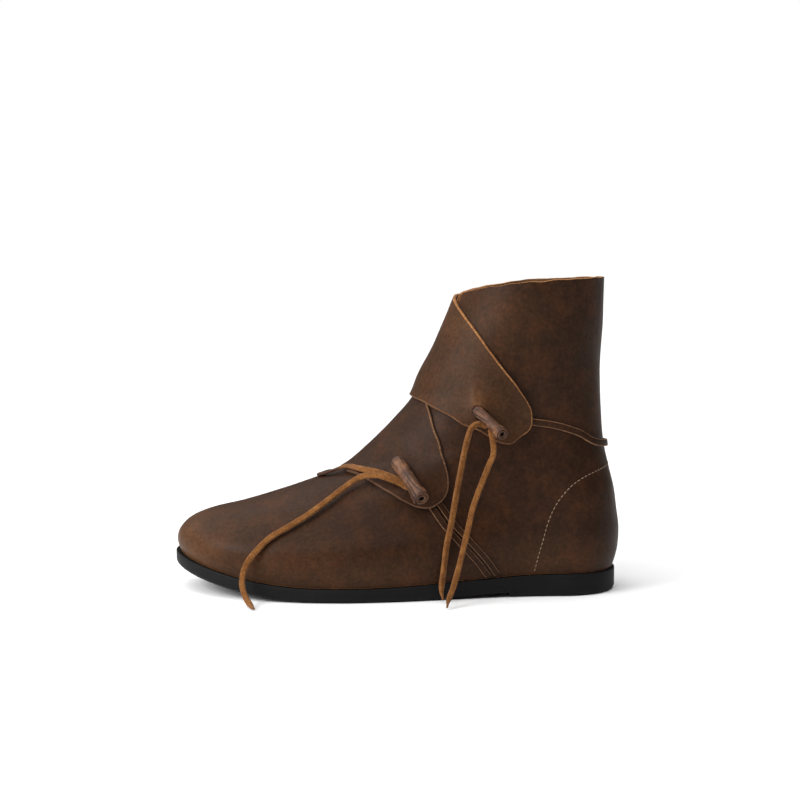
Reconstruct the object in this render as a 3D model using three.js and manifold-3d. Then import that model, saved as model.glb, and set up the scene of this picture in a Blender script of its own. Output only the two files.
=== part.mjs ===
// Viking boot, the left one of a pair: a leather wrap boot on a thin rubber sole, with two flaps that come
// over from the inner side and are held on the outer side by rolled leather toggles and thongs.
// Millimetres, +Z up, the sole stands on z = 0. The toe points to -X and the outer side of the foot is -Y.
// The origin is on the floor at half the boot's length, below the line from heel to toe.

import * as THREE from "three";
import { mergeVertices } from "three/addons/utils/BufferGeometryUtils.js";
import Module from "manifold-3d";

const wasm = await Module();
wasm.setup();

// Driving dimensions of the foot
const LENGTH = 280;
const BALL_WIDTH = 102;
const HEEL_WIDTH = 68;
const SHAFT_WIDTH = 78;
const INSTEP_HEIGHT = 110;
const SHAFT_HEIGHT = 187.4;
const COLLAR_BOW = 4.9;
const BALL_SLANT = 13;
const ARCH_DIP = 6;

// Driving dimensions of the sole
const FOREFOOT_THICKNESS = 8.6;
const HEEL_THICKNESS = 13.8;
const HEEL_STEP = 3;
const TOE_SPRING = 15;
const SOLE_EDGE = 1.6;
const SOLE_ROUNDING = { under: 3.2, lower: 2, edge: 0.7 };
const INSOLE_THICKNESS = 3;
const INSOLE_ROUNDING = 0.6;

// Driving dimensions of the leather, thongs and toggles
const LEATHER = 2;
const CLEARANCE = 0.3;
const SEAT = 0.5;
const THROAT_SLIT = { from: -0.105, to: -0.063, start: 0.57 };
const THONG = { width: 4.4, thickness: 1.6 };
const SOLE_STRAP = { width: 3.7, thickness: 1.2 };
const CORD_DIAMETER = 3.4;
const TOGGLES = {
  instep_toggle: { along: 0.509, level: 0.643, radius: 4.4, length: 33, out: 42, fall: 53 },
  ankle_toggle: { along: 0.678, level: 0.965, radius: 3.9, length: 22, out: 30, fall: 42 },
};

// Grid of the upper: columns round the boot and rows for each step of the ring table
const COLUMNS = 48;
const ROWS_PER_RING = 1.5;

const lerp = (a, b, t) => a + (b - a) * t;
const clamp01 = (t) => Math.min(1, Math.max(0, t));
const smooth = (t) => clamp01(t) ** 2 * (3 - 2 * clamp01(t));
const ramp = (value, from, to) => smooth((value - from) / (to - from));
const alongX = (share) => (share - 0.5) * LENGTH;

// Sole, seen from the side: where it lies flat, where the arch starts and where the heel starts
const FLAT_FROM = alongX(0.34);
const ARCH_FROM = alongX(0.53);
const HEEL_BREAST = alongX(0.746);
const TOE_END = alongX(0);
const SPRING_POWER = 1.9;

function soleBottom(x) {
  const reach = clamp01((FLAT_FROM - x) / (FLAT_FROM - TOE_END));
  return TOE_SPRING * reach ** SPRING_POWER;
}

function soleTop(x) {
  const toHeel = ramp(x, alongX(0.42), alongX(0.88));
  return soleBottom(x) + lerp(FOREFOOT_THICKNESS, HEEL_THICKNESS, toHeel);
}

// Height of a level on the boot: 0 at the sole's top under the ball, 1 at the bend of the ankle,
// 2 at the collar
function levelZ(level) {
  const shaft = SHAFT_HEIGHT - INSTEP_HEIGHT;
  const rise = level <= 1 ? level * INSTEP_HEIGHT : INSTEP_HEIGHT + (level - 1) * shaft;
  return FOREFOOT_THICKNESS + rise;
}

// Each ring goes once round the boot, from a point on its front line to a point on its back line.
// front, back and widest are shares of the length from the toe. frontLevel and backLevel are 0 on the sole,
// 1 at the bend of the ankle and 2 at the collar. outer, inner and heel are half widths, shares of the ball,
// heel and shaft widths. bend turns the toe inwards, heelRun is how far the back's rounding reaches,
// tip is how blunt the front is (2 is an ellipse), foot is 1 on the foot and 0 on the shaft, and follow is
// how much the ring keeps to the sole's own curve.
const RING_COLUMNS = [
  "front", "frontLevel", "back", "backLevel", "widest", "outer", "inner", "bend",
  "heel", "heelRun", "tip", "foot", "follow",
];
const RING_TABLE = [
  [0.007, 0.000, 0.986, 0.000, 0.325, 0.510, 0.451, 0.069, 0.463, 0.129, 2.5, 1.00, 1.00],
  [0.000, 0.075, 0.998, 0.114, 0.325, 0.529, 0.475, 0.069, 0.500, 0.129, 2.5, 1.00, 0.82],
  [0.007, 0.149, 1.000, 0.229, 0.332, 0.515, 0.475, 0.064, 0.515, 0.129, 2.4, 1.00, 0.55],
  [0.032, 0.218, 0.995, 0.344, 0.364, 0.457, 0.447, 0.065, 0.507, 0.129, 2.0, 0.90, 0.30],
  [0.080, 0.276, 0.988, 0.478, 0.436, 0.406, 0.411, 0.062, 0.489, 0.129, 1.5, 0.75, 0.12],
  [0.154, 0.331, 0.977, 0.602, 0.514, 0.400, 0.406, 0.065, 0.472, 0.136, 0.9, 0.60, 0.04],
  [0.239, 0.402, 0.966, 0.726, 0.586, 0.408, 0.411, 0.062, 0.456, 0.143, 0.9, 0.45, 0.00],
  [0.316, 0.476, 0.960, 0.841, 0.643, 0.423, 0.423, 0.059, 0.440, 0.150, 1.1, 0.30, 0.00],
  [0.379, 0.540, 0.957, 0.946, 0.686, 0.429, 0.429, 0.048, 0.434, 0.157, 1.2, 0.20, 0.00],
  [0.439, 0.682, 0.955, 1.070, 0.714, 0.442, 0.442, 0.037, 0.435, 0.164, 1.3, 0.10, 0.00],
  [0.496, 0.851, 0.954, 1.212, 0.736, 0.455, 0.455, 0.026, 0.442, 0.171, 1.4, 0.00, 0.00],
  [0.539, 1.005, 0.954, 1.367, 0.750, 0.459, 0.459, 0.013, 0.455, 0.171, 1.3, 0.00, 0.00],
  [0.564, 1.225, 0.956, 1.522, 0.768, 0.468, 0.468, 0.000, 0.468, 0.164, 1.2, 0.00, 0.00],
  [0.593, 1.470, 0.959, 1.690, 0.782, 0.481, 0.481, 0.000, 0.481, 0.161, 1.1, 0.00, 0.00],
  [0.636, 1.850, 0.961, 2.000, 0.800, 0.500, 0.500, 0.000, 0.500, 0.157, 1.0, 0.00, 0.00],
];

const bendZ = levelZ(1);
const toeSeat = soleTop(alongX(RING_TABLE[0][0])) + CLEARANCE;
const heelSeat = soleTop(alongX(RING_TABLE[0][2])) + CLEARANCE;

function ringFromRow(row) {
  const cell = Object.fromEntries(RING_COLUMNS.map((name, i) => [name, row[i]]));
  const height = (level, seat) => (level <= 1 ? lerp(seat, bendZ, level) : levelZ(level));
  const footWidth = lerp(SHAFT_WIDTH, BALL_WIDTH, cell.foot);
  const heelWidth = lerp(SHAFT_WIDTH, HEEL_WIDTH, cell.foot);
  return {
    frontX: alongX(cell.front),
    frontZ: height(cell.frontLevel, toeSeat),
    backX: alongX(cell.back),
    backZ: height(cell.backLevel, heelSeat),
    widestX: alongX(cell.widest),
    outer: cell.outer * footWidth,
    inner: cell.inner * footWidth,
    bend: cell.bend * footWidth,
    heel: cell.heel * heelWidth,
    heelRun: cell.heelRun * LENGTH,
    tip: cell.tip,
    foot: cell.foot,
    follow: cell.follow,
  };
}

const RINGS = RING_TABLE.map(ringFromRow);
const LAST_RING = RINGS.length - 1;

// The ring at height share v, 0 on the sole and 1 at the collar, by a smooth curve through the table's rows
function ringAt(v) {
  const place = v * LAST_RING;
  const i = Math.min(LAST_RING - 1, Math.max(0, Math.floor(place)));
  const t = place - i;
  const rows = [RINGS[Math.max(0, i - 1)], RINGS[i], RINGS[i + 1], RINGS[Math.min(LAST_RING, i + 2)]];
  const ring = {};
  for (const key of Object.keys(RINGS[0])) {
    const [a, b, c, d] = rows.map((row) => row[key]);
    const slopeIn = (c - a) / 2;
    const slopeOut = (d - b) / 2;
    const square = 3 * (c - b) - 2 * slopeIn - slopeOut;
    const cube = slopeIn + slopeOut - 2 * (c - b);
    ring[key] = b + t * (slopeIn + t * (square + t * cube));
  }
  return ring;
}

// Half of a rounded end: 0 at its tip, 1 where it is widest, with a tip as round as roundness says
const HEEL_ROUNDNESS = 2.2;
const roundedEnd = (t, roundness) => Math.sqrt(roundness * t * (1 - t) ** 2 + t * t * (3 - 2 * t));

// How far the sole's top lies from the straight line between toe and heel
function seatSag(s) {
  const x = lerp(RINGS[0].frontX, RINGS[0].backX, s);
  return soleTop(x) + CLEARANCE - lerp(toeSeat, heelSeat, s);
}

function ringHeight(ring, v, s) {
  const bow = COLLAR_BOW * ramp(v, 0.8, 1) * Math.sin(Math.PI * s ** 0.6);
  return lerp(ring.frontZ, ring.backZ, s) + ring.follow * seatSag(s) + bow;
}

// A point of the upper's outside. u goes round the boot: 0 at the front, -0.5 on the outer side,
// 0.5 on the inner side, and -1 or 1 at the back.
function surfacePoint(u, v) {
  const turn = u - 2 * Math.round(u / 2);
  const side = turn < 0 ? -1 : 1;
  const s = (1 - Math.cos(Math.PI * Math.abs(turn))) / 2;
  const ring = ringAt(v);
  const x = lerp(ring.frontX, ring.backX, s);
  const widestX = ring.widestX - side * BALL_SLANT * ring.foot;
  const half = side < 0 ? ring.outer : ring.inner;
  let y;
  if (x < widestX) {
    const t = (x - ring.frontX) / (widestX - ring.frontX);
    y = ring.bend * (1 - t) ** 2 + side * half * roundedEnd(t, ring.tip);
  } else {
    const toHeel = smooth((x - widestX) / (ring.backX - ring.heelRun - widestX));
    const dip = side > 0 ? ARCH_DIP * ring.foot * Math.sin(Math.PI * toHeel) ** 2 : 0;
    const width = lerp(half, ring.heel, toHeel) - dip;
    y = side * width * roundedEnd(clamp01((ring.backX - x) / ring.heelRun), HEEL_ROUNDNESS);
  }
  return new THREE.Vector3(x, y, ringHeight(ring, v, s));
}

function surfaceNormal(u, v) {
  const step = 1e-3;
  const along = surfacePoint(u + step, v).sub(surfacePoint(u - step, v));
  const up = surfacePoint(u, v + step).sub(surfacePoint(u, v - step));
  return up.cross(along).normalize();
}

const lifted = (u, v, height) => surfacePoint(u, v).addScaledVector(surfaceNormal(u, v), height);

// Finds u and v of the point that the side view shows at (x, z), on the outer side (-1) or the inner side (1)
function locate(side, x, z) {
  let low = 0;
  let high = 1;
  let s = 0;
  for (let i = 0; i < 40; i += 1) {
    const v = (low + high) / 2;
    const ring = ringAt(v);
    s = (x - ring.frontX) / (ring.backX - ring.frontX);
    const above = s < 0 || ringHeight(ring, v, clamp01(s)) > z;
    if (above) high = v;
    else low = v;
  }
  return { u: (side * Math.acos(1 - 2 * clamp01(s))) / Math.PI, v: low };
}

// Solids from grids of points
function signedVolume(points, faces) {
  let volume = 0;
  for (const [a, b, c] of faces) {
    volume += points[a].dot(points[b].clone().cross(points[c])) / 6;
  }
  return volume;
}

function solidFrom(points, faces) {
  const ordered = signedVolume(points, faces) > 0 ? faces : faces.map(([a, b, c]) => [a, c, b]);
  const vertProperties = new Float32Array(points.flatMap((p) => [p.x, p.y, p.z]));
  const triVerts = new Uint32Array(ordered.flat());
  return new wasm.Manifold(new wasm.Mesh({ numProp: 3, vertProperties, triVerts }));
}

const quad = (a, b, c, d) => [[a, b, c], [a, c, d]];

// A wall between two skins over the same grid. Both skins are functions of u and v.
function wallSolid(us, vs, outside, inside, closedRound) {
  const points = [];
  const faces = [];
  const columns = us.length;
  const rows = vs.length;
  for (const skin of [outside, inside]) {
    for (const v of vs) for (const u of us) points.push(skin(u, v));
  }
  const at = (skin, i, j) => skin * rows * columns + j * columns + (i % columns);
  const lastColumn = closedRound ? columns : columns - 1;
  for (let j = 0; j < rows - 1; j += 1) {
    for (let i = 0; i < lastColumn; i += 1) {
      faces.push(...quad(at(0, i, j), at(0, i + 1, j), at(0, i + 1, j + 1), at(0, i, j + 1)));
      faces.push(...quad(at(1, i, j), at(1, i, j + 1), at(1, i + 1, j + 1), at(1, i + 1, j)));
    }
    if (!closedRound) {
      faces.push(...quad(at(0, 0, j), at(0, 0, j + 1), at(1, 0, j + 1), at(1, 0, j)));
      const end = columns - 1;
      faces.push(...quad(at(0, end, j), at(1, end, j), at(1, end, j + 1), at(0, end, j + 1)));
    }
  }
  for (let i = 0; i < lastColumn; i += 1) {
    const top = rows - 1;
    faces.push(...quad(at(0, i, 0), at(1, i, 0), at(1, i + 1, 0), at(0, i + 1, 0)));
    faces.push(...quad(at(0, i, top), at(0, i + 1, top), at(1, i + 1, top), at(1, i, top)));
  }
  return solidFrom(points, faces);
}

// A slab with the foot's outline: each layer is a ring, out from the upper's edge by its own reach, and the
// first and last rings are closed straight across
function slabSolid(layers) {
  const points = [];
  const faces = [];
  const half = COLUMNS / 2;
  for (const { reach, height } of layers) {
    for (let i = 0; i < COLUMNS; i += 1) {
      const u = (2 * i) / COLUMNS - 1;
      const edge = surfacePoint(u, 0);
      const along = surfacePoint(u + 1e-3, 0).sub(surfacePoint(u - 1e-3, 0)).setZ(0).normalize();
      const x = edge.x - along.y * reach;
      const y = edge.y + along.x * reach;
      points.push(new THREE.Vector3(x, y, height(x)));
    }
  }
  const at = (layer, i) => layer * COLUMNS + ((i + COLUMNS) % COLUMNS);
  for (let layer = 0; layer < layers.length - 1; layer += 1) {
    for (let i = 0; i < COLUMNS; i += 1) {
      faces.push(...quad(at(layer, i), at(layer, i + 1), at(layer + 1, i + 1), at(layer + 1, i)));
    }
  }
  const top = layers.length - 1;
  for (let i = 0; i < half; i += 1) {
    const [a, b, c, d] = [i, i + 1, COLUMNS - i - 1, COLUMNS - i];
    const flat = (face) => new Set(face.map((k) => k % COLUMNS)).size === 3;
    faces.push(...quad(a, d, c, b).filter(flat).map((face) => face.map((k) => at(0, k))));
    faces.push(...quad(a, b, c, d).filter(flat).map((face) => face.map((k) => at(top, k))));
  }
  return solidFrom(points, faces);
}

function solidFromGeometry(geometry) {
  const bare = geometry.clone();
  bare.deleteAttribute("normal");
  bare.deleteAttribute("uv");
  const merged = mergeVertices(bare, 1e-4);
  const vertProperties = new Float32Array(merged.attributes.position.array);
  const triVerts = new Uint32Array(merged.index.array);
  return new wasm.Manifold(new wasm.Mesh({ numProp: 3, vertProperties, triVerts }));
}

// A prism with an outline in the side view, from yNear to yFar
function sidePrism(outline, yNear, yFar) {
  const shape = new THREE.Shape(outline.map(([x, z]) => new THREE.Vector2(x, z)));
  const geometry = new THREE.ExtrudeGeometry(shape, { depth: yFar - yNear, bevelEnabled: false });
  geometry.rotateX(Math.PI / 2);
  geometry.translate(0, yFar, 0);
  return solidFromGeometry(geometry);
}

const columnsBetween = (from, to) => {
  const us = [];
  for (let i = -COLUMNS; i <= COLUMNS; i += 1) {
    const u = (2 * i) / COLUMNS;
    if (u > from && u < to) us.push(u);
  }
  return us;
};
const rowCount = LAST_RING * ROWS_PER_RING;
const rowsBetween = (from, to) => {
  const vs = [];
  for (let j = 0; j <= rowCount; j += 1) {
    if (j / rowCount >= from && j / rowCount <= to) vs.push(j / rowCount);
  }
  return vs;
};

// Upper: the wall of the boot, with the slit in front where the foot goes in, and the two flaps
function shellInside(u, v) {
  const point = lifted(u, v, -LEATHER);
  if (v === 0) point.z = soleTop(point.x) + CLEARANCE;
  return point;
}

function makeShell() {
  const us = columnsBetween(-1.01, 0.99);
  const shell = wallSolid(us, rowsBetween(0, 1), surfacePoint, shellInside, true);
  const slitColumns = [THROAT_SLIT.from, ...columnsBetween(THROAT_SLIT.from, THROAT_SLIT.to), THROAT_SLIT.to];
  const slitRows = rowsBetween(THROAT_SLIT.start, 1).concat(1.03);
  const over = (u, v) => lifted(u, v, CLEARANCE / 2);
  const under = (u, v) => lifted(u, v, -1.5 * LEATHER);
  return shell.subtract(wallSolid(slitColumns, slitRows, over, under, false));
}

// Outlines of the flaps in the side view: share of the length from the toe, and level
const ANKLE_FLAP_OUTLINE = [
  [0.48, 1.9], [0.622, 1.9], [0.652, 1.689], [0.68, 1.547], [0.715, 1.368], [0.747, 1.214],
  [0.768, 1.101], [0.785, 1.012], [0.792, 0.958], [0.787, 0.865], [0.763, 0.82], [0.746, 0.787],
  [0.68, 0.857], [0.649, 0.883], [0.621, 0.926], [0.583, 0.967], [0.546, 1.01], [0.526, 1.028], [0.48, 1.06],
];
const INSTEP_FLAP_OUTLINE = [
  [0.33, 1.25], [0.552, 1.25], [0.56, 1.1], [0.572, 0.975], [0.581, 0.888], [0.595, 0.781], [0.605, 0.68],
  [0.612, 0.599], [0.61, 0.524], [0.594, 0.46], [0.57, 0.423], [0.546, 0.427], [0.521, 0.457], [0.488, 0.501],
  [0.454, 0.545], [0.433, 0.57], [0.394, 0.605], [0.366, 0.625], [0.33, 0.66],
];

const outlinePoints = (outline) => outline.map(([along, level]) => [alongX(along), levelZ(level)]);

// On the inner side a flap grows out of the wall: its skins sink into the leather
const FLAP_ROOT = { from: 0.04, to: 0.16 };
const sink = (u) => ramp(u, FLAP_ROOT.from, FLAP_ROOT.to);
const flapInside = (u, v, stand) => lifted(u, v, lerp(stand(u, v), -0.75 * LEATHER, sink(u)));
const flapOutside = (u, v, stand) => lifted(u, v, lerp(stand(u, v) + LEATHER, -0.15 * LEATHER, sink(u)));

// The ankle flap stands over the top of the instep flap and over the thong that goes round the ankle
function ankleStand(u, v) {
  const z = surfacePoint(u, v).z;
  return CLEARANCE + (LEATHER + CLEARANCE) * (1 - ramp(z, levelZ(1.3), levelZ(1.65)));
}

// The instep flap stands over the two sole straps at its lower end
function instepStand(u, v) {
  const z = surfacePoint(u, v).z;
  const room = SEAT + SOLE_STRAP.thickness;
  return CLEARANCE + room * (1 - ramp(z, levelZ(0.47), levelZ(0.58)));
}

function makeFlap(columns, rows, stand, outline, innerOutline) {
  const inside = (u, v) => flapInside(u, v, stand);
  const outside = (u, v) => flapOutside(u, v, stand);
  const sheet = wallSolid(columns, rows, outside, inside, false);
  const outerCut = sidePrism(outlinePoints(outline), -BALL_WIDTH, 1);
  const innerCut = sidePrism(outlinePoints(innerOutline), 0.9, BALL_WIDTH);
  return sheet.intersect(outerCut.add(innerCut));
}

function makeAnkleFlap() {
  const inner = [[0.48, 2.2], [0.9, 2.2], [0.9, 0.9], [0.583, 0.967], [0.526, 1.028], [0.48, 1.06]];
  const rows = rowsBetween(0.5, 0.99).concat(0.995);
  return makeFlap(columnsBetween(-0.7, 0.21), rows, ankleStand, ANKLE_FLAP_OUTLINE, inner);
}

function makeInstepFlap() {
  const inner = [[0.33, 1.25], [0.6, 1.25], [0.6, 0.45], [0.394, 0.605], [0.366, 0.625], [0.33, 0.66]];
  const rows = rowsBetween(0.24, 0.9);
  return makeFlap(columnsBetween(-0.8, 0.21), rows, instepStand, INSTEP_FLAP_OUTLINE, inner);
}

// Toggles: a strip of leather rolled up tight, round at its foot, with a knob at its free end
function toggleProfile({ radius, length }, grow) {
  const profile = [];
  for (let k = 0; k <= 3; k += 1) {
    const angle = (k / 3) * (Math.PI / 2);
    profile.push([(radius + grow) * Math.sin(angle), -(radius + grow) * Math.cos(angle)]);
  }
  for (const [share, width] of [[0.3, 0.93], [0.6, 0.9], [0.78, 0.96], [0.84, 1.14], [0.96, 1.14]]) {
    profile.push([radius * width + grow, length * share]);
  }
  profile.push([radius * 0.95 + grow, length + grow]);
  if (grow === 0) profile.push([radius * 0.28, length], [radius * 0.2, length - radius * 0.7]);
  profile[0][0] = 0;
  profile.push([0, grow === 0 ? length - radius * 0.7 : length + grow]);
  return profile.map(([r, y]) => new THREE.Vector2(r, y));
}

function toggleFrame(toggle) {
  const { u, v } = locate(-1, alongX(toggle.along), levelZ(toggle.level));
  const normal = surfaceNormal(u, v);
  const fall = THREE.MathUtils.degToRad(toggle.fall);
  const out = THREE.MathUtils.degToRad(toggle.out);
  const back = Math.cos(fall) * Math.cos(out);
  const down = Math.sin(fall) * Math.cos(out);
  const axis = new THREE.Vector3(back, -Math.sin(out), -down);
  const foot = surfacePoint(u, v).addScaledVector(normal, toggle.radius + 2 * CLEARANCE);
  return { foot, turn: new THREE.Quaternion().setFromUnitVectors(new THREE.Vector3(0, 1, 0), axis) };
}

function toggleGeometry(toggle, grow) {
  const geometry = new THREE.LatheGeometry(toggleProfile(toggle, grow), 14);
  const { foot, turn } = toggleFrame(toggle);
  geometry.applyQuaternion(turn);
  geometry.translate(foot.x, foot.y, foot.z);
  return geometry;
}

// Straps that lie on the leather. A route row: side, share of the length, level, height above the leather.
function routeOnSurface(rows, steps) {
  const places = rows.map(([side, along, level, height]) => {
    const { u, v } = locate(side, alongX(along), levelZ(level));
    return new THREE.Vector3(u, v, height);
  });
  for (let i = 1; i < places.length; i += 1) {
    places[i].x -= 2 * Math.round((places[i].x - places[i - 1].x) / 2);
  }
  const curve = new THREE.CatmullRomCurve3(places, false, "centripetal");
  const stations = [];
  for (let i = 0; i <= steps; i += 1) {
    const place = curve.getPoint(i / steps);
    const normal = surfaceNormal(place.x, place.y);
    stations.push({ normal, point: lifted(place.x, place.y, place.z) });
  }
  return stations;
}

function strapSolid(stations, { width, thickness }) {
  const points = [];
  const faces = [];
  const last = stations.length - 1;
  stations.forEach(({ point, normal }, i) => {
    const ahead = stations[Math.min(last, i + 1)].point;
    const behind = stations[Math.max(0, i - 1)].point;
    const across = ahead.clone().sub(behind).cross(normal).normalize();
    const corner = (w, h) => point.clone().addScaledVector(across, w).addScaledVector(normal, h);
    points.push(corner(-width / 2, 0), corner(width / 2, 0));
    points.push(corner(width / 2, thickness), corner(-width / 2, thickness));
  });
  for (let i = 0; i < last; i += 1) {
    for (let k = 0; k < 4; k += 1) {
      const next = (k + 1) % 4;
      faces.push(...quad(4 * i + k, 4 * i + next, 4 * i + 4 + next, 4 * i + 4 + k));
    }
  }
  faces.push(...quad(3, 2, 1, 0), ...quad(4 * last, 4 * last + 1, 4 * last + 2, 4 * last + 3));
  return solidFrom(points, faces);
}

// The thong round the ankle: from below the ankle flap round the back to a slot in the inner side
const ANKLE_THONG_ROUTE = [
  [-1, 0.735, 0.915, SEAT], [-1, 0.765, 0.915, SEAT], [-1, 0.792, 0.907, SEAT], [-1, 0.842, 0.886, SEAT],
  [-1, 0.893, 0.842, SEAT], [-1, 0.938, 0.785, SEAT], [1, 0.94, 0.745, SEAT], [1, 0.9, 0.75, SEAT],
  [1, 0.84, 0.79, SEAT], [1, 0.77, 0.85, SEAT], [1, 0.71, 0.9, SEAT],
];

// The thong across the throat: from the sole on the inner side over the instep to the toggle
const INSTEP_THONG_ROUTE = [
  [1, 0.56, 0.03, SEAT], [1, 0.5, 0.15, SEAT], [1, 0.43, 0.3, SEAT], [1, 0.36, 0.445, SEAT],
  [1, 0.325, 0.51, SEAT], [1, 0.319, 0.548, 1], [-1, 0.343, 0.564, 2.8], [-1, 0.379, 0.585, 3.7],
  [-1, 0.414, 0.599, 3.7], [-1, 0.462, 0.6, 3], [-1, 0.493, 0.592, 2.8],
];

// Two straps from below the instep flap down to the sole
const SOLE_STRAP_ROUTES = {
  sole_strap_front: [
    [-1, 0.567, 0.46, SEAT], [-1, 0.575, 0.434, SEAT], [-1, 0.64, 0.232, SEAT], [-1, 0.699, 0.05, SEAT],
  ],
  sole_strap_rear: [
    [-1, 0.586, 0.474, SEAT], [-1, 0.592, 0.455, SEAT], [-1, 0.659, 0.247, SEAT], [-1, 0.718, 0.06, SEAT],
  ],
};

// Free ends of the thongs: points chosen by hand, in millimetres
const CORD_ROUTES = {
  instep_thong_end: [
    [0.9, -38.9, 72.4], [-4.5, -39.1, 74.5], [-10.7, -37.1, 76.3], [-15.7, -35.4, 76.1], [-21.2, -32.6, 74.6],
    [-27.4, -29.6, 70.9], [-33, -29.9, 66.9], [-42.6, -33.5, 59.8], [-53.4, -38, 52.3], [-65.3, -42.3, 45.4],
    [-75.4, -45.4, 39.9], [-80.1, -47.6, 36.3], [-84.2, -49.6, 32.2], [-87.7, -51, 28.2], [-90.3, -52, 24.5],
    [-92.6, -53, 17.8], [-92.9, -55, 12.2], [-90.4, -60, 5.5], [-86.2, -68, 1.9], [-84.3, -73, 1.8],
  ],
  ankle_thong_end_front: [
    [49.7, -42.3, 107.8], [47, -44, 107.4], [44.5, -45.2, 105.2], [42.7, -45.8, 100.2], [40.6, -46, 91.4],
    [38.4, -46.5, 80], [36.6, -46.5, 70.3], [34.5, -47, 58.3], [32.4, -47, 46.2], [29.9, -47.5, 34.2],
    [28.5, -48, 22.2], [27.3, -48.3, 12.6], [26.9, -48.8, 6.7], [27.9, -49.5, 1.8],
  ],
  ankle_thong_end_rear: [
    [57.2, -46.7, 99.9], [58, -47.5, 93.5], [57.6, -47.8, 89], [55.6, -48, 84.4], [52, -48.5, 75.5],
    [48.6, -49, 66.5], [45.5, -49.5, 57.5], [43.5, -50, 48.6], [41.3, -51, 39.1], [38.8, -52.5, 29.1],
    [36.3, -55, 19.7], [33.8, -58.5, 11.7], [30.6, -65, 4.8], [29.7, -69.5, 1.8],
  ],
};
const CORD_STEP = 3;
const CORD_SIDES = 8;

function cordGeometry(route) {
  const curve = new THREE.CatmullRomCurve3(route.map((p) => new THREE.Vector3(...p)), false, "centripetal");
  const section = new THREE.Shape();
  section.absarc(0, 0, CORD_DIAMETER / 2, 0, 2 * Math.PI, false);
  const steps = Math.round(curve.getLength() / (CORD_STEP * CORD_DIAMETER));
  const options = { extrudePath: curve, steps, curveSegments: CORD_SIDES, bevelEnabled: false };
  return new THREE.ExtrudeGeometry(section, options);
}

// Sole and insole
function makeOutsole() {
  const { under, lower, edge } = SOLE_ROUNDING;
  const layers = [
    { reach: SOLE_EDGE - under, height: (x) => soleBottom(x) },
    { reach: SOLE_EDGE - under + lower, height: (x) => soleBottom(x) + under - lower },
    { reach: SOLE_EDGE, height: (x) => soleBottom(x) + under },
    { reach: SOLE_EDGE, height: (x) => soleTop(x) - edge },
    { reach: SOLE_EDGE - edge, height: (x) => soleTop(x) },
  ];
  const arch = [[ARCH_FROM, -1]];
  const archSteps = 8;
  for (let k = 0; k <= archSteps; k += 1) {
    arch.push([lerp(ARCH_FROM, HEEL_BREAST, k / archSteps), HEEL_STEP * smooth(k / archSteps)]);
  }
  arch.push([HEEL_BREAST, -1]);
  return slabSolid(layers).subtract(sidePrism(arch, -BALL_WIDTH, BALL_WIDTH));
}

function makeInsole() {
  const reach = -LEATHER - 3 * CLEARANCE;
  const top = CLEARANCE + INSOLE_THICKNESS;
  return slabSolid([
    { reach, height: (x) => soleTop(x) + CLEARANCE },
    { reach, height: (x) => soleTop(x) + top - INSOLE_ROUNDING },
    { reach: reach - INSOLE_ROUNDING, height: (x) => soleTop(x) + top },
  ]);
}

// Materials, named for what each piece is made of
const material = (color, roughness) => new THREE.MeshStandardMaterial({ color, roughness, metalness: 0 });
const MATERIALS = {
  rubber: material(0x1d1c1c, 0.75),
  sockLeather: material(0x8a6a48, 0.8),
  oiledLeather: material(0x4d3527, 0.5),
  rolledLeather: material(0x6b4735, 0.55),
  strapLeather: material(0x3d2c22, 0.55),
  suede: material(0x9a6230, 0.85),
};

const boot = new THREE.Group();

function addPiece(name, solid, finish) {
  const { vertProperties, triVerts } = solid.getMesh();
  const geometry = new THREE.BufferGeometry();
  geometry.setAttribute("position", new THREE.BufferAttribute(vertProperties, 3));
  geometry.setIndex(new THREE.BufferAttribute(triVerts, 1));
  geometry.computeVertexNormals();
  const mesh = new THREE.Mesh(geometry, finish);
  mesh.name = name;
  boot.add(mesh);
}

addPiece("outsole", makeOutsole(), MATERIALS.rubber);
addPiece("insole", makeInsole(), MATERIALS.sockLeather);

let upper = makeShell().add(makeInstepFlap()).add(makeAnkleFlap());
for (const toggle of Object.values(TOGGLES)) {
  upper = upper.subtract(solidFromGeometry(toggleGeometry(toggle, CLEARANCE)));
}
addPiece("upper", upper, MATERIALS.oiledLeather);

for (const [name, toggle] of Object.entries(TOGGLES)) {
  addPiece(name, solidFromGeometry(toggleGeometry(toggle, 0)), MATERIALS.rolledLeather);
}

addPiece("ankle_thong", strapSolid(routeOnSurface(ANKLE_THONG_ROUTE, 60), THONG), MATERIALS.strapLeather);
addPiece("instep_thong", strapSolid(routeOnSurface(INSTEP_THONG_ROUTE, 48), THONG), MATERIALS.suede);
for (const [name, route] of Object.entries(SOLE_STRAP_ROUTES)) {
  addPiece(name, strapSolid(routeOnSurface(route, 14), SOLE_STRAP), MATERIALS.strapLeather);
}
for (const [name, route] of Object.entries(CORD_ROUTES)) {
  addPiece(name, solidFromGeometry(cordGeometry(route)), MATERIALS.suede);
}

export default boot;
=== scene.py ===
"""Viking boot, the left one of a pair: the finished look of a leather wrap boot on a thin rubber sole.
Two flaps come over from the inner side and are held on the outer side by rolled leather toggles and thongs.
Shapes are worked out in millimetres and placed in metres. The toe points to -X and the outer side is -Y."""

import bpy
import numpy as np
from mathutils import Matrix, Vector, noise


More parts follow.
